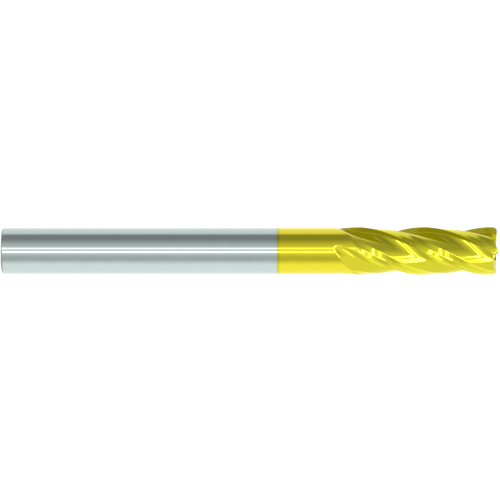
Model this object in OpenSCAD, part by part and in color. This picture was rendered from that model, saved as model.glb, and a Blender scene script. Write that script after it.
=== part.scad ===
// Four-flute corner-radius end mill, ground from one carbide rod.
// The tool lies along +X: the back end of the shank is at the origin and the cutting end is at +X.
// It turns clockwise seen from the shank, so the cutting edges lead towards growing angles about +X.

/* [Shank] */
// Diameter of the ground shank and of the plain neck
shank_d = 4.7625; // [3:0.0125:12]
// Length of bare shank, from the back end to the edge of the coating
shank_length = 28.2; // [12:0.1:60]
// Rounding of the shank's back rim
back_round = 0.2; // [0.1:0.05:1]

/* [Coated neck] */
// Length of plain coated neck, from the edge of the coating to the first mark of the flutes
neck_length = 5.7; // [1:0.1:30]

/* [Fluted head] */
// Diameter over the cutting edges
cut_d = 4.9; // [3:0.05:12]
// Length of the fluted head, with the stretch where the flutes run out
head_length = 16.9; // [8:0.1:40]
// Number of teeth
teeth = 4; // [3:1:6]
// Helix angle of the cutting edges
helix_angle = 29.3; // [15:0.1:45]
// Direction of the first cutting edge at the tip, turned about +X from +Y
first_edge_angle = 190; // [0:1:360]
// Length over which the grinding wheel leaves the flutes
runout_length = 3.4; // [1:0.1:6]

/* [Tooth section] */
// Relief angle of the narrow land behind the cutting edge
primary_relief = 15; // [6:1:18]
// Width of the narrow land behind the cutting edge
primary_width = 0.5; // [0.1:0.05:0.6]
// Relief angle of the wide land behind the narrow one
secondary_relief = 28.5; // [24:0.5:32]
// Angle that the two lands take up
land_angle = 30; // [26:1:34]
// Rake angle of the face under the cutting edge
rake_angle = 10; // [6:1:12]
// Depth of the flute below the cutting edge
flute_depth = 0.74; // [0.6:0.01:0.9]
// Radius of the hollow that the wheel grinds as the flute's floor
hollow_radius = 2.4; // [2:0.1:2.8]
// Direction of the floor's deepest point, ahead of the cutting edge
floor_angle = 16.5; // [14:0.5:19]
// Direction the surface faces where the hollow floor turns into the swelling back
back_turn = 6.5; // [5:0.5:9]

/* [End teeth] */
// Radius on the outer corner of each tooth
corner_radius = 0.38; // [0.1:0.01:1]
// Angle by which the end edges dip towards the axis
dish_angle = 2; // [0:0.5:5]
// Relief angle behind each end edge
end_relief = 8; // [3:1:15]
// Depth of the gash ground in front of each end edge
gash_depth = 0.8; // [0.2:0.05:1.5]

/* [Hidden] */

shank_r = shank_d / 2;
cut_r = cut_d / 2;
neck_start = shank_length;
head_start = neck_start + neck_length;
tip_x = head_start + head_length;
full_depth_x = head_start + runout_length;

// One turn of the helix, and the angle between neighbouring teeth.
lead = PI * cut_d / tan(helix_angle);
pitch = 360 / teeth;

// The two lands, as seen in a section: flats that fall away behind the cutting edge.
edge = [cut_r, 0];
ledge = edge - primary_width * [sin(primary_relief), cos(primary_relief)];
secondary_reach = ledge.x * cos(secondary_relief) - ledge.y * sin(secondary_relief);
heel_r = secondary_reach / cos(secondary_relief - land_angle);
next_heel = heel_r * way(pitch - land_angle);

// The flute's floor is an arc hollowed by the wheel, and the rake face runs straight into it.
core_r = cut_r - flute_depth;
hollow = (core_r + hollow_radius) * way(floor_angle);
down = -way(rake_angle);
from_hollow = edge - hollow;
along = from_hollow * down;
rake_length = -along + sqrt(along * along - from_hollow * from_hollow + hollow_radius ^ 2);
root = edge + rake_length * down;
root_turn = atan2(hollow.y - root.y, hollow.x - root.x);

// The back swells from the floor's end to the next tooth's heel on one arc.
floor_end = hollow - hollow_radius * way(back_turn);
floor_end_angle = atan2(floor_end.y, floor_end.x);
rise = next_heel - floor_end;
back_radius = -(rise * rise) / (2 * (rise * way(back_turn)));
back_middle = floor_end - back_radius * way(back_turn);
heel_turn = atan2(next_heel.y - back_middle.y, next_heel.x - back_middle.x);

// Steps that the faceted head is made of
secondary_steps = 3;
rake_steps = 2;
floor_steps = 6;
back_steps = 7;
runout_rows = 14;
body_rows = 34;
tip_rows = 6;
end_rings = 10;
// Length of the last stretch, where the rows bend to meet the end teeth
tip_zone = 2;
// Width of the first relief behind an end edge, and the angle of the second
end_land = 0.45;
end_clearance = 20;
// Angle at which the gash climbs to the next tooth
gash_slope = 35;
// Steps round the shank and the neck
$fn = 96;

function clamp(v) = max(0, min(1, v));
function ease(v) = v * v * (3 - 2 * v);
// A step of length 1 in a direction.
function way(angle) = [cos(angle), sin(angle)];

// Points of one tooth in section, from its heel to the edge and forwards to the next heel.
function between(from, to, share) = from + (to - from) * share;
land_points = concat(
    [for (i = [0 : secondary_steps - 1])
        between(heel_r * way(-land_angle), ledge, i / secondary_steps)],
    [ledge, edge]
);
rake_points = [for (i = [1 : rake_steps]) edge + rake_length * i / rake_steps * down];
floor_points = [for (i = [1 : floor_steps])
    hollow - hollow_radius * way(between(root_turn, back_turn, i / floor_steps))];
back_points = [for (i = [1 : back_steps - 1])
    back_middle + back_radius * way(between(back_turn, heel_turn, i / back_steps))];

// The rake face hangs back under the edge. Where the flute is still shallow it hangs less, so each
// point is [angle with no overhang, radius, overhang angle, angle of its tooth].
under_steps = rake_steps + floor_steps;
function hung(point, spread) =
    let (angle = atan2(point.y, point.x), flat = max(angle, spread))
    [flat, norm(point), flat - angle];
tooth_section = concat(
    [for (point = land_points) hung(point, -pitch)],
    [for (i = [0 : rake_steps - 1])
        hung(rake_points[i], floor_end_angle * (i + 1) / under_steps)],
    [for (i = [0 : floor_steps - 1])
        hung(floor_points[i], floor_end_angle * (rake_steps + i + 1) / under_steps)],
    [for (point = back_points) hung(point, -pitch)]
);
section = [for (tooth = [0 : teeth - 1], p = tooth_section) concat(p, tooth * pitch)];
columns = len(section);

// The grinding wheel leaves the cut on an arc, which lifts the section until it clears the blank.
climb = max(cut_r, shank_r) - core_r;
wheel_r = (runout_length * runout_length + climb * climb) / (2 * climb);
function lift(x) =
    let (left = max(0, full_depth_x - x))
    wheel_r - sqrt(wheel_r * wheel_r - left * left);
function blank_r(x) =
    shank_r + (cut_r - shank_r) * ease(clamp((x - head_start) / runout_length));
function surface_r(column, x) = min(blank_r(x), column.y + lift(x));

// Direction of a section's point: the helix turns it, and the overhang grows with the depth.
function direction(column, r, x) =
    let (overhang = column.y < cut_r ? (blank_r(x) - r) / (cut_r - column.y) : 0)
    first_edge_angle + (x - tip_x) * 360 / lead + column[3] + column[0] - column.z * overhang;

function point_at(column, r, x, share = 1) =
    let (angle = direction(column, r, x))
    [x, share * r * cos(angle), share * r * sin(angle)];

// Depth of the end face below the tip: the corner, the dish, the relief and the gash.
function dish_drop(r) = max(0, cut_r - corner_radius - r) * tan(dish_angle);
function corner_drop(r) =
    let (past = clamp((r - (cut_r - corner_radius)) / corner_radius))
    corner_radius * (1 - sqrt(1 - past * past));
function relief_drop(behind) =
    min(behind, end_land) * tan(end_relief) + max(0, behind - end_land) * tan(end_clearance);
function gash_drop(ahead, r) =
    max(0, gash_depth * ease(clamp(3 * r / cut_r)) - ahead * tan(gash_slope));
function end_drop(column, r) =
    corner_drop(r) + dish_drop(r) + (column.x <= 0
        ? relief_drop(-r * sin(column.x))
        : max(relief_drop(r * sin(min(90, pitch - column.x))), gash_drop(r * sin(column.x), r)));
function end_x(column, r) = tip_x - end_drop(column, r);

// Rows of points from the neck to the tip, then rings that close the end face.
row_x = concat(
    [for (i = [0 : runout_rows - 1]) head_start + runout_length * i / runout_rows],
    [for (i = [0 : body_rows - 1])
        full_depth_x + (tip_x - tip_zone - full_depth_x) * i / body_rows]
);
body_points = [for (x = row_x, column = section) point_at(column, surface_r(column, x), x)];
tip_points = [for (i = [0 : tip_rows], column = section)
    let (last_x = end_x(column, column.y), start_x = tip_x - tip_zone)
    point_at(column, column.y, start_x + (last_x - start_x) * i / tip_rows)];
end_points = [for (i = [1 : end_rings - 1], column = section)
    let (share = 1 - i / end_rings)
    point_at(column, column.y, end_x(column, share * column.y), share)];
rows = len(row_x) + tip_rows + 1 + end_rings - 1;
back_centre = rows * columns;
tip_centre = back_centre + 1;

module shank() {
    color("gainsboro")
    rotate([0, 90, 0])
    rotate_extrude()
        polygon(concat(
            [[0, 0]],
            [for (turn = [0 : 15 : 90])
                [shank_r - back_round * (1 - sin(turn)), back_round * (1 - cos(turn))]],
            [[shank_r, shank_length], [0, shank_length]]
        ));
}

module neck() {
    color("gold")
    translate([neck_start, 0, 0])
    rotate([0, 90, 0])
        cylinder(h = neck_length, r = shank_r);
}

module cutting_head() {
    color("goldenrod")
    polyhedron(
        points = concat(body_points, tip_points, end_points,
            [[head_start, 0, 0], [tip_x - dish_drop(0), 0, 0]]),
        faces = concat(
            [for (j = [0 : columns - 1]) [back_centre, j, (j + 1) % columns]],
            [for (i = [0 : rows - 2], j = [0 : columns - 1])
                let (k = (j + 1) % columns, a = i * columns, b = a + columns)
                each [[a + j, b + j, b + k], [a + j, b + k, a + k]]],
            [for (j = [0 : columns - 1])
                let (a = (rows - 1) * columns)
                [a + j, tip_centre, a + (j + 1) % columns]]
        )
    );
}

shank();
neck();
cutting_head();
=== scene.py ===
import math

import bmesh
import bpy
from bpy.props import FloatProperty, FloatVectorProperty, IntProperty, PointerProperty
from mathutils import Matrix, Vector


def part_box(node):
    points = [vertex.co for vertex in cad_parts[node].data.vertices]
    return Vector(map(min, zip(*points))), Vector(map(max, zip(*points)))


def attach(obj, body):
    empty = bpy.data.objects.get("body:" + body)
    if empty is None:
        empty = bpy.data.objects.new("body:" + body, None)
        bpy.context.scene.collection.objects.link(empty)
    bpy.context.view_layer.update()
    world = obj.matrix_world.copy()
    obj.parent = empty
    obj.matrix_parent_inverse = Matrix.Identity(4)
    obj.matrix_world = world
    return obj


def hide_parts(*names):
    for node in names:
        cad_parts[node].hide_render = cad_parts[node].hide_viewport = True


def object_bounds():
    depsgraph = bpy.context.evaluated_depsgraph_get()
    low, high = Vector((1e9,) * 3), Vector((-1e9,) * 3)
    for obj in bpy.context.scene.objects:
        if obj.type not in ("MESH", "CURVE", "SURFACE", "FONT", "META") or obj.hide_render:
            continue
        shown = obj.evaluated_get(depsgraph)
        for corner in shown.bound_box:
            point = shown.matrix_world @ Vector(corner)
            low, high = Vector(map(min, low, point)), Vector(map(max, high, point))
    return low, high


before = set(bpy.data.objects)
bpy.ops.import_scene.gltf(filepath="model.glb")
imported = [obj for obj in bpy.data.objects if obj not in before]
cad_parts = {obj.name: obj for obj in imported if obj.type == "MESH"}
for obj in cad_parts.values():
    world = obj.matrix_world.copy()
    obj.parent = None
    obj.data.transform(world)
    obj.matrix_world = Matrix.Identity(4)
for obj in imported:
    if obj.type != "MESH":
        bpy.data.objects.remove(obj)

bl_info = {
    "name": "Solid Carbide End Mill",
    "version": (1, 0, 0),
    "blender": (4, 5, 0),
    "location": "3D View > Sidebar > End Mill",
    "description": "Dresses the packed end mill: bare ground shank, coated neck and fluted head",
    "category": "Object",
}

MM = 0.001
CAD_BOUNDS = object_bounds()
SHANK_LOW, SHANK_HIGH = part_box("shank")
NECK_LOW, NECK_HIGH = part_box("neck")
HEAD_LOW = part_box("cutting_head")[0]

# The full fluted length. The head's own box is a few micrometres shorter at the end teeth.
HEAD_LENGTH = 16.9 * MM
# Steps round the shank and the neck, round the shank's back rim, and along each of them
ROUND_STEPS = 256
RIM_STEPS = 12
SHANK_STEPS = 40
NECK_STEPS = 16
# Rings on the flat back face of the shank, as shares of its radius
BACK_FACE_RINGS = (0.1, 0.25, 0.45, 0.65)
# Steps across one tooth, and the rows and rings along it, that the head is drawn with
CORNER_STEPS = 5
LAND_STEPS = 12
LEDGE_STEPS = 8
RAKE_STEPS = 8
FLOOR_STEPS = 20
BACK_STEPS = 16
RUNOUT_ROWS = 72
BODY_ROWS = 160
TIP_ROWS = 36
END_RINGS = 34
# Last stretch, where the rows bend to meet the end teeth
TIP_ZONE = 2 * MM
# Creases sharper than this stay sharp
CREASE = math.radians(15)

# Roughness of the ground surfaces, least and most, and the height of their grinding marks
GLOSS = (0.05, 0.1)
MARK_HEIGHT = 0.0001 * MM
# Real marks are 3 to 5 micrometres apart; they are drawn coarser so that they show.
MARK_SPACING = 0.05 * MM
# White sheen of the nitride film, and the film's own roughness
FILM = 0.8
FILM_ROUGHNESS = 0.04
# Soft patches in each tone: how dark they get, and their size
CARBIDE_PATCHES = (0.92, 1.5 * MM)
COATING_PATCHES = (0.94, 1.2 * MM)
FLOOR_PATCHES = (0.98, 20 * MM)
FLOOR_GLOW_PATCHES = (0.995, 20 * MM)
# Tint and width of the line where the coating thins out at its edge
THIN_COATING = (0.62, 0.74, 0.6, 1)
COATING_EDGE = 0.4 * MM
# Length over which the coating turns from the neck's tone to the flutes'
TONE_CHANGE = 4 * MM

# Half the width of the floor, in metres
FLOOR_HALF = 3.0
# Lens and place of the camera
LENS = 210.2
CAMERA_PLACE = (25.46 * MM, -300 * MM, 0.1 * MM)

# The light tent: (angle round the tool's axis, brightness), where 0 is the front and 90 straight
# up. It has a bright back, a grey front table, a bright front and a dark flag above the front.
TENT_STRENGTH = 2.0
TENT_MIDDLE = (
    (-180, 0.6), (-70, 0.55), (-45, 0.3), (-30, 0.3), (-10, 0.45), (10, 0.45), (60, 0.15),
    (85, 0.15), (100, 0.45), (180, 0.6),
)
# Towards the tip the front is even, and towards the shank the tent is dim.
TENT_TIP_SIDE = ((-180, 0.45), (10, 0.45), (60, 0.2), (110, 0.2), (180, 0.45))
TENT_SHANK_SIDE = ((-180, 0.4), (-110, 0.2), (110, 0.2), (180, 0.4))
# Two white strip lights in front, as (lowest angle, highest angle). Both are shaded in the
# middle, the upper one is bare at the sides, and both are bare towards the tip.
UPPER_STRIP = (10, 15)
LOWER_STRIP = (-9, -1)
BROAD_LOWER_STRIP = (-20, -2)
SHADED = 0.6
BARE = 4.0
# Sideways part of the direction over which each stretch of the tent blends into the next
TO_TIP_SIDE = (0.12, 0.32)
TO_SHANK_SIDE = (-0.25, -0.45)
TO_BARE_STRIPS = (0.12, 0.2)
TO_BROAD_STRIPS = (0.28, 0.33)
TO_END_WALLS = (0.85, 0.97)
END_WALLS = (0.52, 0.52, 0.52, 1)
# Where the strips fade out, towards the shank's side and the tip's side
STRIP_ENDS = ((-0.22, -0.42), (0.4, 0.46))


def linear(hex_colour):
    """An sRGB hex colour as linear red, green, blue and alpha."""
    channels = [int(hex_colour[i:i + 2], 16) / 255 for i in (1, 3, 5)]
    values = [c / 12.92 if c <= 0.04045 else ((c + 0.055) / 1.055) ** 2.4 for c in channels]
    return tuple(values) + (1.0,)


def clamp(value):
    return max(0.0, min(1.0, value))


def ease(value):
    return value * value * (3 - 2 * value)


# ---------------------------------------------------------------- sizes and colours


class EndMillSizes(bpy.types.PropertyGroup):
    """Sizes of the cutter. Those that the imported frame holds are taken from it."""

    shank_radius: FloatProperty(
        name="Shank Radius", description="Radius of the ground shank and of the neck",
        default=SHANK_HIGH.z, unit="LENGTH", precision=6)
    rim_round: FloatProperty(
        name="Rim Rounding", description="Rounding of the shank's back rim",
        default=0.2 * MM, unit="LENGTH", precision=6)
    cut_radius: FloatProperty(
        name="Cut Radius", description="Radius over the cutting edges",
        default=2.45 * MM, unit="LENGTH", precision=6)
    teeth: IntProperty(
        name="Teeth", description="Number of teeth round the head", default=4, min=3, max=6)
    helix_angle: FloatProperty(
        name="Helix Angle", description="Angle of the cutting edges to the tool's axis",
        default=math.radians(29.3), subtype="ANGLE")
    first_edge_angle: FloatProperty(
        name="First Edge", description="Direction of the first cutting edge at the tip",
        default=math.radians(190), subtype="ANGLE")
    runout_length: FloatProperty(
        name="Run-out", description="Length over which the grinding wheel leaves the flutes",
        default=3.4 * MM, unit="LENGTH", precision=6)
    runout_softness: FloatProperty(
        name="Run-out Softness", description="Rounding of the crease where the flutes start",
        default=0.05 * MM, unit="LENGTH", precision=6)
    primary_relief: FloatProperty(
        name="Primary Relief", description="Relief angle of the narrow land",
        default=math.radians(15), subtype="ANGLE")
    primary_width: FloatProperty(
        name="Primary Width", description="Width of the narrow land",
        default=0.5 * MM, unit="LENGTH", precision=6)
    secondary_relief: FloatProperty(
        name="Secondary Relief", description="Relief angle of the wide land",
        default=math.radians(28.5), subtype="ANGLE")
    land_share: FloatProperty(
        name="Land Share", description="Share of one tooth spacing that the lands take up",
        default=0.333, subtype="FACTOR")
    rake_angle: FloatProperty(
        name="Rake", description="Angle by which the rake face leans back under the edge",
        default=math.radians(10), subtype="ANGLE")
    flute_depth: FloatProperty(
        name="Flute Depth", description="Depth of the flute below the cutting edge",
        default=0.74 * MM, unit="LENGTH", precision=6)
    hollow_radius: FloatProperty(
        name="Hollow Radius", description="Radius of the arc that hollows the flute's floor",
        default=2.4 * MM, unit="LENGTH", precision=6)
    floor_angle: FloatProperty(
        name="Floor Angle", description="Angle from the cutting edge to the flute's deepest line",
        default=math.radians(16.5), subtype="ANGLE")
    back_turn: FloatProperty(
        name="Back Turn", description="Direction the flute faces where its hollow ends",
        default=math.radians(6.5), subtype="ANGLE")
    edge_softness: FloatProperty(
        name="Edge Softness", description="How far the ground edges are softened on each side",
        default=0.03 * MM, unit="LENGTH", precision=6)
    corner_radius: FloatProperty(
        name="Corner Radius", description="Radius on the outer corner of each tooth",
        default=0.38 * MM, unit="LENGTH", precision=6)
    dish_angle: FloatProperty(
        name="Dish", description="Angle by which the end edges dip towards the axis",
        default=math.radians(2), subtype="ANGLE")
    end_relief: FloatProperty(
        name="End Relief", description="Relief angle behind each end edge",
        default=math.radians(8), subtype="ANGLE")
    end_clearance: FloatProperty(
        name="End Clearance", description="Angle of the second relief behind each end edge",
        default=math.radians(20), subtype="ANGLE")
    end_land: FloatProperty(
        name="End Land", description="Width of the first relief behind each end edge",
        default=0.45 * MM, unit="LENGTH", precision=6)
    gash_depth: FloatProperty(
        name="Gash Depth", description="Depth of the gash in front of each end edge",
        default=0.8 * MM, unit="LENGTH", precision=6)
    gash_slope: FloatProperty(
        name="Gash Slope", description="Angle at which the gash climbs to the next tooth",
        default=math.radians(35), subtype="ANGLE")


class EndMillColours(bpy.types.PropertyGroup):
    """Colours of the two finishes and of the stage."""

    carbide: FloatVectorProperty(
        name="Bare Carbide", description="Ground cemented carbide", subtype="COLOR",
        size=4, min=0, max=1, default=linear("#C6D5D2"))
    coating: FloatVectorProperty(
        name="Gold Coating", description="Gold-coloured nitride film on the neck", subtype="COLOR",
        size=4, min=0, max=1, default=linear("#E8DC0C"))
    # Drawn a little greener than the neck's coating, blending in over the whole fluted head, lands
    # included.
    flute_coating: FloatVectorProperty(
        name="Flute Coating", description="The same film where it grows greener, in the flutes",
        subtype="COLOR", size=4, min=0, max=1, default=linear("#E5DF0C"))
    rim: FloatVectorProperty(
        name="Coating Edge-On", description="Nitride coating seen at a grazing angle",
        subtype="COLOR", size=4, min=0, max=1, default=linear("#FFF7A0"))
    floor: FloatVectorProperty(
        name="Floor", description="Pale floor under the tool", subtype="COLOR",
        size=4, min=0, max=1, default=linear("#C4C4C4"))


# ---------------------------------------------------------------- nodes


def add(tree, kind, inputs=None, **settings):
    """Adds one node with its settings, and fills or links its inputs."""
    node = tree.nodes.new(kind)
    for name, value in settings.items():
        setattr(node, name, value)
    for socket, value in (inputs or {}).items():
        if isinstance(value, bpy.types.NodeSocket):
            tree.links.new(value, node.inputs[socket])
        else:
            node.inputs[socket].default_value = value
    return node


def share_between(tree, value, start, end):
    """0 to 1 as a value goes from start to end, eased."""
    return add(tree, "ShaderNodeMapRange", {
        "Value": value, "From Min": start, "From Max": end},
        interpolation_type="SMOOTHSTEP").outputs[0]


def mixed(tree, share, first, second):
    """The first colour blended into the second by a share."""
    return add(tree, "ShaderNodeMix", {"Factor": share, "A": first, "B": second},
               data_type="RGBA").outputs["Result"]


# ---------------------------------------------------------------- finishes


def finish_tree(name):
    """An empty node material and its tree."""
    material = bpy.data.materials.new(name)
    material.use_nodes = True
    material.node_tree.nodes.clear()
    return material, material.node_tree


def ground_metal(tree, marks, tone, film=0.0, rim=(1, 1, 1, 1)):
    """A metal whose gloss and relief follow its grinding marks. A film adds a white sheen, and
    the rim colour is what shows where the surface is seen edge-on."""
    gloss = add(tree, "ShaderNodeMapRange", {
        "Value": marks, "From Min": 0.3, "From Max": 0.7,
        "To Min": GLOSS[0], "To Max": GLOSS[1]})
    bump = add(tree, "ShaderNodeBump", {"Height": marks, "Distance": MARK_HEIGHT, "Strength": 1.0})
    shader = add(tree, "ShaderNodeBsdfPrincipled", {
        "Base Color": tone, "Metallic": 1.0, "Roughness": gloss.outputs[0],
        "Specular Tint": rim,
        "Normal": bump.outputs[0], "Coat Weight": film, "Coat Roughness": FILM_ROUGHNESS})
    add(tree, "ShaderNodeOutputMaterial", {"Surface": shader.outputs[0]})


def varied_tone(tree, place, colour, darkest, patch_size):
    """The colour, darkened a little in soft patches."""
    cloud = add(tree, "ShaderNodeTexNoise", {
        "Vector": place, "Scale": 1 / patch_size, "Detail": 3.0})
    dark = tuple(c * darkest for c in colour[:3]) + (1.0,)
    return mixed(tree, cloud.outputs["Fac"], dark, tuple(colour))


def ring_marks(tree, place):
    """Rings round the tool's axis, as centreless grinding leaves them."""
    stretched = add(tree, "ShaderNodeMapping", {
        "Vector": place, "Scale": (1 / MARK_SPACING, 0.01 / MARK_SPACING, 0.01 / MARK_SPACING)})
    return add(tree, "ShaderNodeTexNoise", {
        "Vector": stretched.outputs[0], "Scale": 1.0, "Detail": 4.0}).outputs["Fac"]


def ground_carbide(colours):
    """Cemented carbide, centreless ground: crisp bands of light along a cool grey rod,
    broken up by a faint grain of rings across them."""
    material, tree = finish_tree("centreless_ground_carbide")
    place = add(tree, "ShaderNodeTexCoord").outputs["Object"]
    marks = ring_marks(tree, place)
    tone = varied_tone(tree, place, colours.carbide, *CARBIDE_PATCHES)
    ground_metal(tree, marks, tone)
    return material


def coated_round(colours):
    """Gold-coloured nitride over the ground neck: the same rings, seen through a gold mirror, with
    a darker, greener line where the coating thins out at its edge."""
    material, tree = finish_tree("nitride_coated_ground_neck")
    place = add(tree, "ShaderNodeTexCoord").outputs["Object"]
    marks = ring_marks(tree, place)
    tone = varied_tone(tree, place, colours.coating, *COATING_PATCHES)
    along = add(tree, "ShaderNodeSeparateXYZ", {0: place}).outputs["X"]
    full = add(tree, "ShaderNodeMapRange", {
        "Value": along, "From Min": NECK_LOW.x, "From Max": NECK_LOW.x + COATING_EDGE})
    thin = mixed(tree, full.outputs[0], THIN_COATING, (1, 1, 1, 1))
    faded = add(tree, "ShaderNodeMix", {
        "Factor": 1.0, "A": tone, "B": thin}, data_type="RGBA", blend_type="MULTIPLY")
    ground_metal(tree, marks, faded.outputs["Result"], film=FILM, rim=colours.rim)
    return material


def coated_flutes(colours):
    """Gold-coloured nitride over wheel-ground flutes: fine lines run along each flute and land."""
    material, tree = finish_tree("nitride_coated_ground_flutes")
    place = add(tree, "ShaderNodeTexCoord").outputs["Object"]
    across = add(tree, "ShaderNodeUVMap", uv_map="grinding").outputs[0]
    # The map is in millimetres: across the flute first, then along it.
    stretched = add(tree, "ShaderNodeMapping", {
        "Vector": across, "Scale": (MM / MARK_SPACING, 1 / 4.0, 1.0)})
    marks = add(tree, "ShaderNodeTexNoise", {
        "Vector": stretched.outputs[0], "Scale": 1.0, "Detail": 4.0}).outputs["Fac"]
    along = add(tree, "ShaderNodeSeparateXYZ", {0: place}).outputs["X"]
    fluted = share_between(tree, along, HEAD_LOW.x, HEAD_LOW.x + TONE_CHANGE)
    tone = mixed(tree, fluted,
                 varied_tone(tree, place, colours.coating, *COATING_PATCHES),
                 varied_tone(tree, place, colours.flute_coating, *COATING_PATCHES))
    ground_metal(tree, marks, tone, film=FILM, rim=colours.rim)
    return material


def lit_floor(colours):
    """Backlit white acrylic: a pale matt floor that keeps its shadows soft."""
    material, tree = finish_tree("white_acrylic_floor")
    place = add(tree, "ShaderNodeTexCoord").outputs["Object"]
    tone = varied_tone(tree, place, colours.floor, *FLOOR_PATCHES)
    glow = varied_tone(tree, place, (1.0, 1.0, 1.0, 1.0), *FLOOR_GLOW_PATCHES)
    shader = add(tree, "ShaderNodeBsdfPrincipled", {
        "Base Color": tone, "Roughness": 0.9, "Emission Color": glow, "Emission Strength": 0.75})
    add(tree, "ShaderNodeOutputMaterial", {"Surface": shader.outputs[0]})
    return material


# ---------------------------------------------------------------- shapes


def new_piece(name, vertices, faces, material=None):
    """A mesh object at the origin, with the material if one is given."""
    mesh = bpy.data.meshes.new(name)
    mesh.from_pydata(vertices, [], faces)
    mesh.update()
    piece = bpy.data.objects.new(name, mesh)
    bpy.context.scene.collection.objects.link(piece)
    if material:
        mesh.materials.append(material)
    return piece


def turned(name, outline, material):
    """A solid turned round the X axis from an outline of (x, radius) pairs, closed at both ends."""
    vertices = []
    for x, radius in outline:
        for i in range(ROUND_STEPS):
            turn = math.tau * i / ROUND_STEPS
            vertices.append((x, radius * math.cos(turn), radius * math.sin(turn)))
    faces = []
    for row in range(len(outline) - 1):
        for i in range(ROUND_STEPS):
            k = (i + 1) % ROUND_STEPS
            a = row * ROUND_STEPS
            b = a + ROUND_STEPS
            faces.append((a + i, b + i, b + k, a + k))
    vertices += [(outline[0][0], 0, 0), (outline[-1][0], 0, 0)]
    back = len(vertices) - 2
    front = len(vertices) - 1
    last = (len(outline) - 1) * ROUND_STEPS
    for i in range(ROUND_STEPS):
        k = (i + 1) % ROUND_STEPS
        faces.append((back, i, k))
        faces.append((front, last + k, last + i))
    piece = new_piece(name, vertices, faces, material)
    finish_mesh(piece)
    return piece


def finish_mesh(piece):
    """Points the normals outwards, smooths the faces and keeps the sharp creases."""
    work = bmesh.new()
    work.from_mesh(piece.data)
    bmesh.ops.recalc_face_normals(work, faces=work.faces)
    work.to_mesh(piece.data)
    work.free()
    piece.data.shade_smooth()
    piece.data.set_sharp_from_angle(angle=CREASE)


def around(radius, angle, point=None):
    """A point of the section at a radius and angle, or another point turned by the angle."""
    if point is None:
        return Vector((radius * math.cos(angle), radius * math.sin(angle)))
    return Vector((
        point.x * math.cos(angle) - point.y * math.sin(angle),
        point.x * math.sin(angle) + point.y * math.cos(angle))) * radius


def steps(start, end, count):
    """Evenly spaced values from start to end, both included."""
    return [start + (end - start) * (i / count) for i in range(count + 1)]


def softened(before, corner, after):
    """A short curve that takes the sharpness off a corner between two points."""
    return [(1 - t) ** 2 * before + 2 * t * (1 - t) * corner + t ** 2 * after
            for t in steps(0.0, 1.0, CORNER_STEPS)]


def soft_min(first, second, softness):
    """The smaller of two lengths, with the crease between them rounded."""
    near = max(0.0, softness - abs(first - second))
    rounding = near ** 2 / (4 * softness) if near > 0 else 0.0
    return min(first, second) - rounding


def tooth_section(s):
    """One tooth and the flute ahead of it, from this tooth's heel forwards to the next heel, as
    (angle from the cutting edge, radius, lean) triples. The lean is the part of the angle by
    which the rake face and the flute's start lie back under the edge."""
    pitch = math.tau / s.teeth
    edge = Vector((s.cut_radius, 0))
    ledge = edge - s.primary_width * Vector((math.sin(s.primary_relief), math.cos(s.primary_relief)))
    reach = ledge.x * math.cos(s.secondary_relief) - ledge.y * math.sin(s.secondary_relief)
    heel = -s.land_share * pitch
    heel_radius = reach / math.cos(heel + s.secondary_relief)
    heel_point = around(heel_radius, heel)
    next_heel = around(heel_radius, heel + pitch)

    # The flute's floor is an arc hollowed by the wheel; the rake face runs straight down into it.
    core = s.cut_radius - s.flute_depth
    hollow = around(core + s.hollow_radius, s.floor_angle)
    down = -around(1, s.rake_angle)
    from_hollow = edge - hollow
    along = from_hollow.dot(down)
    rake_length = -along + math.sqrt(
        along ** 2 - from_hollow.length_squared + s.hollow_radius ** 2)
    root = edge + rake_length * down
    root_turn = math.atan2(hollow.y - root.y, hollow.x - root.x)

    # The back of the next tooth swells from the floor's end to that tooth's heel on one arc.
    floor_end = hollow - around(s.hollow_radius, s.back_turn)
    back_way = around(1, s.back_turn)
    rise = next_heel - floor_end
    back_radius = -rise.length_squared / (2 * rise.dot(back_way))
    back_middle = floor_end - back_radius * back_way
    heel_turn = math.atan2(next_heel.y - back_middle.y, next_heel.x - back_middle.x)

    soft = s.edge_softness
    spread = soft / back_radius
    back = [back_middle + around(back_radius, turn)
            for turn in steps(s.back_turn, heel_turn - spread, BACK_STEPS)]
    heel_start = around(1, -pitch, back[-1])
    land_way = (ledge - heel_point).normalized()
    land_start = heel_point + soft * land_way
    edge_before = edge + soft * (ledge - edge).normalized()
    edge_after = edge + soft * down
    root_before = root - 3 * soft * down
    root_after = hollow - around(s.hollow_radius, root_turn - 3 * soft / s.hollow_radius)
    floor = [hollow - around(s.hollow_radius, turn) for turn in steps(
        root_turn - 3 * soft / s.hollow_radius, s.back_turn, FLOOR_STEPS)]

    land = softened(heel_start, heel_point, land_start)
    land += steps(land_start, ledge, LAND_STEPS)[1:]
    land += steps(ledge, edge_before, LEDGE_STEPS)[1:-1]
    land += softened(edge_before, edge, edge_after)
    flute = steps(edge_after, root_before, RAKE_STEPS)[1:-1]
    flute += softened(root_before, root, root_after)
    flute += floor[1:]
    flute += back[1:]

    section = [(math.atan2(point.y, point.x), point.length, 0.0) for point in land]
    first = section[-1][0]
    last = math.atan2(floor_end.y, floor_end.x)
    leaning = len(flute) - len(back) + 1
    for i, point in enumerate(flute):
        angle = math.atan2(point.y, point.x)
        flat_angle = angle
        if i < leaning:
            flat_angle = max(angle, first + (last - first) * (i + 1) / leaning)
        section.append((flat_angle, point.length, flat_angle - angle))
    return section


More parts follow.
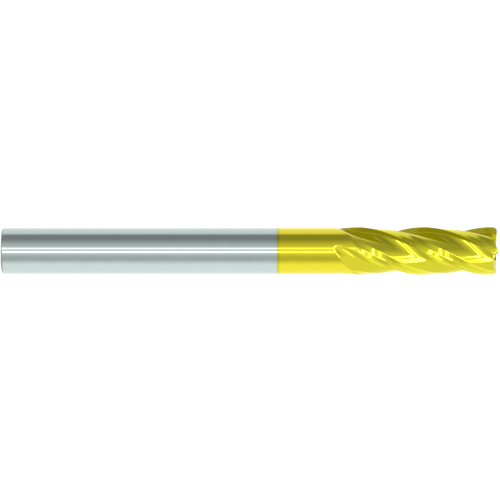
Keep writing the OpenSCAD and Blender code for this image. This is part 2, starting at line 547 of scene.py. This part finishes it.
def unwound_tooth(s):
    """One tooth with its flute before the helix is wound: vertices, faces and grinding coordinates.
    Rows run from the neck to the tip, then in rings to the middle of the end face."""
    pitch = math.tau / s.teeth
    start_x = HEAD_LOW.x
    tip_x = start_x + HEAD_LENGTH
    full_x = start_x + s.runout_length
    zone_x = tip_x - TIP_ZONE
    wheel = (s.runout_length ** 2 + s.flute_depth ** 2) / (2 * s.flute_depth)
    section = tooth_section(s)

    def blank(x):
        grown = ease(clamp((x - start_x) / s.runout_length))
        return s.shank_radius + (s.cut_radius - s.shank_radius) * grown

    def lifted(radius, x):
        left = max(0.0, full_x - x)
        floor = radius + wheel - math.sqrt(wheel ** 2 - left ** 2)
        return soft_min(blank(x), floor, s.runout_softness * left / s.runout_length)

    def direction(angle, radius, lean, x):
        depth = s.cut_radius - radius
        if lean == 0 or depth <= 0:
            return angle
        return angle - lean * (blank(x) - lifted(radius, x)) / depth

    def end_drop(angle, radius):
        past = clamp((radius - (s.cut_radius - s.corner_radius)) / s.corner_radius)
        corner = s.corner_radius * (1 - math.sqrt(1 - past * past))
        dish = max(0.0, s.cut_radius - s.corner_radius - radius) * math.tan(s.dish_angle)
        behind = -radius * math.sin(angle) if angle <= 0 else radius * math.sin(
            min(math.pi / 2, pitch - angle))
        relief = (min(behind, s.end_land) * math.tan(s.end_relief)
                  + max(0.0, behind - s.end_land) * math.tan(s.end_clearance))
        if angle > 0:
            middle = s.gash_depth * ease(clamp(3 * radius / s.cut_radius))
            gash = middle - radius * math.sin(angle) * math.tan(s.gash_slope)
            relief = max(relief, gash)
        return corner + dish + relief

    body_x = [start_x + s.runout_length * i / RUNOUT_ROWS for i in range(RUNOUT_ROWS)]
    body_x += [full_x + (zone_x - full_x) * i / BODY_ROWS for i in range(BODY_ROWS)]
    rows = []
    for x in body_x:
        rows.append([(direction(angle, radius, lean, x), lifted(radius, x), x, 1.0)
                     for angle, radius, lean in section])
    for share in steps(0.0, 1.0, TIP_ROWS):
        rows.append([
            (angle - lean, radius, zone_x + (tip_x - end_drop(angle, radius) - zone_x) * share, 1.0)
            for angle, radius, lean in section])
    for share in steps(1.0, 0.0, END_RINGS)[1:-1]:
        rows.append([(angle - lean, radius, tip_x - end_drop(angle, share * radius), share)
                     for angle, radius, lean in section])

    across = [0.0]
    for before, after in zip(section, section[1:]):
        turn = (after[0] - before[0]) * (after[1] + before[1]) / 2
        across.append(across[-1] + math.hypot(turn, after[1] - before[1]))

    vertices = []
    grinding = []
    for row in rows:
        for column, (turn, radius, x, share) in enumerate(row):
            vertices.append((x, share * radius * math.cos(turn), share * radius * math.sin(turn)))
            along = x / math.cos(s.helix_angle) + (1 - share) * radius
            grinding.append((across[column] / MM, along / MM))
    columns = len(section)
    faces = []
    for row in range(len(rows) - 1):
        for i in range(columns - 1):
            a = row * columns + i
            b = a + columns
            faces.append((a, b, b + 1, a + 1))
    back = len(vertices)
    front = back + 1
    vertices += [(start_x, 0, 0), (tip_x - end_drop(0.0, 0.0), 0, 0)]
    grinding += [grinding[0], grinding[-1]]
    last = (len(rows) - 1) * columns
    for i in range(columns - 1):
        faces.append((back, i, i + 1))
        faces.append((front, last + i + 1, last + i))
    return vertices, faces, grinding


def winding_tree(name):
    """A node tree that winds one tooth along the helix and repeats it round the axis."""
    tree = bpy.data.node_groups.new(name, "GeometryNodeTree")
    sockets = (
        ("Geometry", "NodeSocketGeometry"), ("Teeth", "NodeSocketInt"),
        ("Lead", "NodeSocketFloat"), ("Tip", "NodeSocketFloat"),
        ("First Edge", "NodeSocketFloat"), ("Weld", "NodeSocketFloat"),
        ("Material", "NodeSocketMaterial"))
    for label, kind in sockets:
        tree.interface.new_socket(label, in_out="INPUT", socket_type=kind)
    tree.interface.new_socket("Geometry", in_out="OUTPUT", socket_type="NodeSocketGeometry")
    given = add(tree, "NodeGroupInput").outputs

    place = add(tree, "GeometryNodeInputPosition").outputs[0]
    x = add(tree, "ShaderNodeSeparateXYZ", {0: place}).outputs["X"]
    from_tip = add(tree, "ShaderNodeMath", {0: x, 1: given["Tip"]}, operation="SUBTRACT")
    turns = add(tree, "ShaderNodeMath", {0: from_tip.outputs[0], 1: given["Lead"]},
                operation="DIVIDE")
    angle = add(tree, "ShaderNodeMath", {
        0: turns.outputs[0], 1: math.tau, 2: given["First Edge"]}, operation="MULTIPLY_ADD")
    wound = add(tree, "ShaderNodeVectorRotate", {"Vector": place, "Angle": angle.outputs[0]},
                rotation_type="X_AXIS")
    tooth = add(tree, "GeometryNodeSetPosition", {
        "Geometry": given["Geometry"], "Position": wound.outputs[0]})

    spots = add(tree, "GeometryNodeMeshLine", {
        "Count": given["Teeth"], "Offset": (0, 0, 0)})
    index = add(tree, "GeometryNodeInputIndex").outputs[0]
    pitch = add(tree, "ShaderNodeMath", {0: math.tau, 1: given["Teeth"]}, operation="DIVIDE")
    step = add(tree, "ShaderNodeMath", {0: index, 1: pitch.outputs[0]}, operation="MULTIPLY")
    turn = add(tree, "FunctionNodeAxisAngleToRotation", {
        "Axis": (1, 0, 0), "Angle": step.outputs[0]})
    teeth = add(tree, "GeometryNodeInstanceOnPoints", {
        "Points": spots.outputs[0], "Instance": tooth.outputs[0], "Rotation": turn.outputs[0]})
    whole = add(tree, "GeometryNodeRealizeInstances", {"Geometry": teeth.outputs[0]})
    welded = add(tree, "GeometryNodeMergeByDistance", {
        "Geometry": whole.outputs[0], "Distance": given["Weld"]})
    coated = add(tree, "GeometryNodeSetMaterial", {
        "Geometry": welded.outputs[0], "Material": given["Material"]})
    add(tree, "NodeGroupOutput", {"Geometry": coated.outputs[0]})
    return tree


def built_by_nodes(name, piece, tree, inputs):
    """The plain mesh that a node tree makes of a piece, in an object of its own."""
    modifier = piece.modifiers.new(name, "NODES")
    modifier.node_group = tree
    for item in tree.interface.items_tree:
        if item.in_out == "INPUT" and item.name in inputs:
            modifier[item.identifier] = inputs[item.name]
    bpy.context.view_layer.update()
    evaluated = piece.evaluated_get(bpy.context.evaluated_depsgraph_get())
    mesh = bpy.data.meshes.new_from_object(evaluated)
    mesh.name = name
    piece.modifiers.remove(modifier)
    bpy.data.objects.remove(piece)
    result = bpy.data.objects.new(name, mesh)
    bpy.context.scene.collection.objects.link(result)
    return result


# ---------------------------------------------------------------- operators


class ENDMILL_OT_shank(bpy.types.Operator):
    """Adds the bare ground shank, with its rounded back rim"""

    bl_idname = "endmill.shank"
    bl_label = "Add Shank"

    def execute(self, context):
        s = context.scene.endmill_sizes
        radius = s.shank_radius
        rim = s.rim_round
        back_x = SHANK_LOW.x
        outline = [(back_x, radius * share) for share in BACK_FACE_RINGS]
        for i in range(RIM_STEPS + 1):
            turn = math.pi / 2 * i / RIM_STEPS
            outline.append((
                back_x + rim * (1 - math.cos(turn)), radius - rim * (1 - math.sin(turn))))
        straight = SHANK_HIGH.x - back_x - rim
        outline += [(back_x + rim + straight * i / SHANK_STEPS, radius)
                    for i in range(1, SHANK_STEPS + 1)]
        piece = turned("ground_shank", outline, ground_carbide(context.scene.endmill_colours))
        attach(piece, "root")
        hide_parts("shank")
        return {"FINISHED"}


class ENDMILL_OT_neck(bpy.types.Operator):
    """Adds the coated neck between the shank and the flutes"""

    bl_idname = "endmill.neck"
    bl_label = "Add Neck"

    def execute(self, context):
        s = context.scene.endmill_sizes
        length = NECK_HIGH.x - NECK_LOW.x
        outline = [(NECK_LOW.x + length * i / NECK_STEPS, s.shank_radius)
                   for i in range(NECK_STEPS + 1)]
        piece = turned("coated_neck", outline, coated_round(context.scene.endmill_colours))
        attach(piece, "root")
        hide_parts("neck")
        return {"FINISHED"}


class ENDMILL_OT_head(bpy.types.Operator):
    """Adds the fluted head: one tooth wound along the helix and repeated round the axis"""

    bl_idname = "endmill.head"
    bl_label = "Add Fluted Head"

    def execute(self, context):
        s = context.scene.endmill_sizes
        vertices, faces, grinding = unwound_tooth(s)
        tooth = new_piece("unwound_tooth", vertices, faces)
        marks = tooth.data.uv_layers.new(name="grinding")
        for loop in tooth.data.loops:
            marks.data[loop.index].uv = grinding[loop.vertex_index]
        material = coated_flutes(context.scene.endmill_colours)
        head = built_by_nodes("fluted_head", tooth, winding_tree("wind_and_repeat_tooth"), {
            "Teeth": s.teeth,
            "Lead": math.tau * s.cut_radius / math.tan(s.helix_angle),
            "Tip": HEAD_LOW.x + HEAD_LENGTH,
            "First Edge": s.first_edge_angle,
            "Weld": 0.001 * MM,
            "Material": material,
        })
        finish_mesh(head)
        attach(head, "root")
        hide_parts("cutting_head")
        return {"FINISHED"}


class ENDMILL_OT_stage(bpy.types.Operator):
    """Adds the floor, the studio light and the camera"""

    bl_idname = "endmill.stage"
    bl_label = "Add Stage"

    def execute(self, context):
        add_floor(context.scene.endmill_colours)
        add_studio_light(context.scene)
        add_camera(context.scene)
        return {"FINISHED"}


def add_floor(colours):
    """A wide floor at the lowest point of the tool. Metal does not mirror it, so the studio's
    own bands of light shape the reflections."""
    half = FLOOR_HALF
    level = CAD_BOUNDS[0][2]
    floor = new_piece("floor", [
        (-half, -half, level), (half, -half, level), (half, half, level), (-half, half, level)],
        [(0, 1, 2, 3)], lit_floor(colours))
    floor.visible_glossy = False


def add_studio_light(scene):
    """A light tent: bright walls, a dark opening above the front, a grey front floor and two
    strip lights in front. Brightness goes by the angle round the tool's axis, and the tent's
    sides differ from its middle."""
    world = bpy.data.worlds.new("light_tent")
    scene.world = world
    world.use_nodes = True
    tree = world.node_tree
    tree.nodes.clear()
    way = add(tree, "ShaderNodeTexCoord").outputs["Generated"]
    parts = add(tree, "ShaderNodeSeparateXYZ", {0: way}).outputs
    front = add(tree, "ShaderNodeMath", {0: parts["Y"], 1: -1.0}, operation="MULTIPLY")
    height = add(tree, "ShaderNodeMath", {0: parts["Z"], 1: front.outputs[0]},
                 operation="ARCTAN2")
    turn = add(tree, "ShaderNodeMapRange", {
        "Value": height.outputs[0], "From Min": -math.pi, "From Max": math.pi})
    middle = bands_node(tree, turn, TENT_MIDDLE)
    tip_side = bands_node(tree, turn, TENT_TIP_SIDE)
    shank_side = bands_node(tree, turn, TENT_SHANK_SIDE)
    strips = strips_node(tree, turn, LOWER_STRIP, SHADED, SHADED)
    side_strips = strips_node(tree, turn, LOWER_STRIP, SHADED, BARE)
    broad_strips = strips_node(tree, turn, BROAD_LOWER_STRIP, BARE, BARE)
    to_tip = share_between(tree, parts["X"], *TO_TIP_SIDE)
    to_shank = share_between(tree, parts["X"], *TO_SHANK_SIDE)
    tent = mixed(tree, to_tip, middle, tip_side)
    tent = mixed(tree, to_shank, tent, shank_side)
    side = add(tree, "ShaderNodeMath", {0: parts["X"]}, operation="ABSOLUTE").outputs[0]
    bared = share_between(tree, side, *TO_BARE_STRIPS)
    to_broad = share_between(tree, parts["X"], *TO_BROAD_STRIPS)
    strips = mixed(tree, bared, strips, side_strips)
    strips = mixed(tree, to_broad, strips, broad_strips)
    for start, end in STRIP_ENDS:
        kept = share_between(tree, parts["X"], end, start)
        strips = mixed(tree, kept, (0, 0, 0, 1), strips)
    both = add(tree, "ShaderNodeMix", {
        "Factor": 1.0, "A": tent, "B": strips}, data_type="RGBA", blend_type="ADD")
    ends = share_between(tree, side, *TO_END_WALLS)
    closed = mixed(tree, ends, both.outputs["Result"], END_WALLS)
    sky = add(tree, "ShaderNodeBackground", {
        "Color": closed, "Strength": TENT_STRENGTH})
    add(tree, "ShaderNodeOutputWorld", {"Surface": sky.outputs[0]})


def strips_node(tree, turn, lower, lower_brightness, upper_brightness):
    """The two strip lights with soft edges, one degree wide."""
    low, high = lower
    start, end = UPPER_STRIP
    return bands_node(tree, turn, (
        (-180, 0.0), (low - 1, 0.0), (low, lower_brightness), (high, lower_brightness),
        (high + 1, 0.0), (start - 1, 0.0), (start, upper_brightness), (end, upper_brightness),
        (end + 1, 0.0), (180, 0.0)))


def bands_node(tree, turn, bands):
    """A colour ramp filled from (angle in degrees, brightness) pairs from -180 to 180."""
    node = add(tree, "ShaderNodeValToRGB", {0: turn.outputs[0]})
    ramp = node.color_ramp
    while len(ramp.elements) < len(bands):
        ramp.elements.new(0.5)
    for element, (angle, brightness) in zip(ramp.elements, bands):
        element.position = (angle + 180) / 360
        element.color = (brightness, brightness, brightness, 1)
    return node.outputs[0]


def add_camera(scene):
    """A long lens at the tool's height, square to its axis."""
    lens = bpy.data.cameras.new("camera")
    lens.sensor_width = 36
    lens.lens = LENS
    lens.clip_start = 0.01
    lens.clip_end = 20
    camera = bpy.data.objects.new("camera", lens)
    camera.location = CAMERA_PLACE
    camera.rotation_euler = (math.pi / 2, 0, 0)
    scene.collection.objects.link(camera)
    scene.camera = camera
    scene.view_settings.view_transform = "Standard"


# ---------------------------------------------------------------- panel


class ENDMILL_PT_sidebar(bpy.types.Panel):
    """Buttons that add each piece, and the sizes and colours they use"""

    bl_label = "End Mill"
    bl_idname = "ENDMILL_PT_sidebar"
    bl_space_type = "VIEW_3D"
    bl_region_type = "UI"
    bl_category = "End Mill"

    def draw(self, context):
        for group in (context.scene.endmill_sizes, context.scene.endmill_colours):
            for name in group.bl_rna.properties.keys():
                if name not in ("rna_type", "name"):
                    self.layout.prop(group, name)
        for operator in OPERATORS:
            self.layout.operator(operator.bl_idname)


OPERATORS = (ENDMILL_OT_shank, ENDMILL_OT_neck, ENDMILL_OT_head, ENDMILL_OT_stage)
CLASSES = (EndMillSizes, EndMillColours) + OPERATORS + (ENDMILL_PT_sidebar,)


def register():
    for cls in CLASSES:
        bpy.utils.register_class(cls)
    bpy.types.Scene.endmill_sizes = PointerProperty(type=EndMillSizes)
    bpy.types.Scene.endmill_colours = PointerProperty(type=EndMillColours)


def unregister():
    del bpy.types.Scene.endmill_colours
    del bpy.types.Scene.endmill_sizes
    for cls in reversed(CLASSES):
        bpy.utils.unregister_class(cls)


def main():
    """Adds every piece and the stage."""
    register()
    bpy.ops.endmill.shank()
    bpy.ops.endmill.neck()
    bpy.ops.endmill.head()
    bpy.ops.endmill.stage()


if __name__ == "__main__":
    main()
